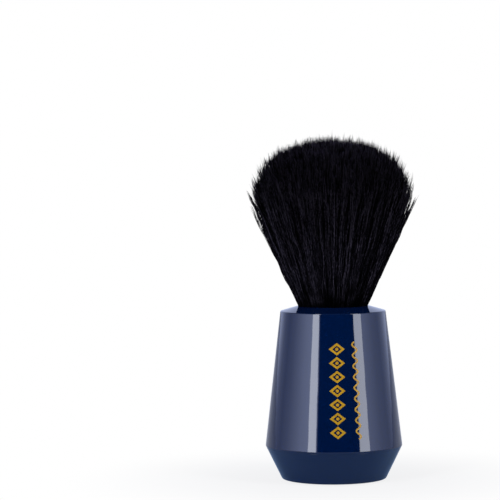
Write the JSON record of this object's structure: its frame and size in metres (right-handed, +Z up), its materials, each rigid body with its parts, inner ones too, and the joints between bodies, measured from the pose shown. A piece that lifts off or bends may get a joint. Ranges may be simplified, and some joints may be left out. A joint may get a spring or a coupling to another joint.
{
  "type": "shaving brush",
  "caption": "Standing shaving brush: glossy handle that widens from the shoulder to a low ridge and narrows to its base, with a flaring, domed knot of synthetic fibre.",
  "frame": {"origin": "middle of the pad's face that the brush stands on", "axes": "+Z up the handle, along the axis of the knot; the handle and knot are round about it, and +X and +Y are two directions across it"},
  "size_m": [0.0504, 0.0504, 0.1086],
  "materials": {
    "handle_plastic": "high gloss, deep navy blue",
    "ornament_gold": "gold ink, stamped on the handle, soft gloss",
    "pad_rubber": "matt, fine grain",
    "seal_rubber": "smooth, semi-matt",
    "weight_steel": "turned, zinc plated",
    "screw_steel": "bright zinc plated",
    "adhesive": "cured epoxy",
    "cup_plastic": "moulded, matt",
    "potting_resin": "cast resin, dark with fibre roots",
    "thread": "waxed thread",
    "fibre": "fine crimped synthetic fibre, black, slight sheen"
  },
  "bodies": {
    "root": {"handle_body": "handle_plastic", "handle_base": "handle_plastic", "base_pad": "pad_rubber", "seal_ring": "seal_rubber", "balance_weight": "weight_steel", "base_screw": "screw_steel", "socket_adhesive": "adhesive", "knot_cup": "cup_plastic", "knot_resin": "potting_resin", "binding_thread": "thread", "bristles": "fibre"}
  },
  "joints": []
}
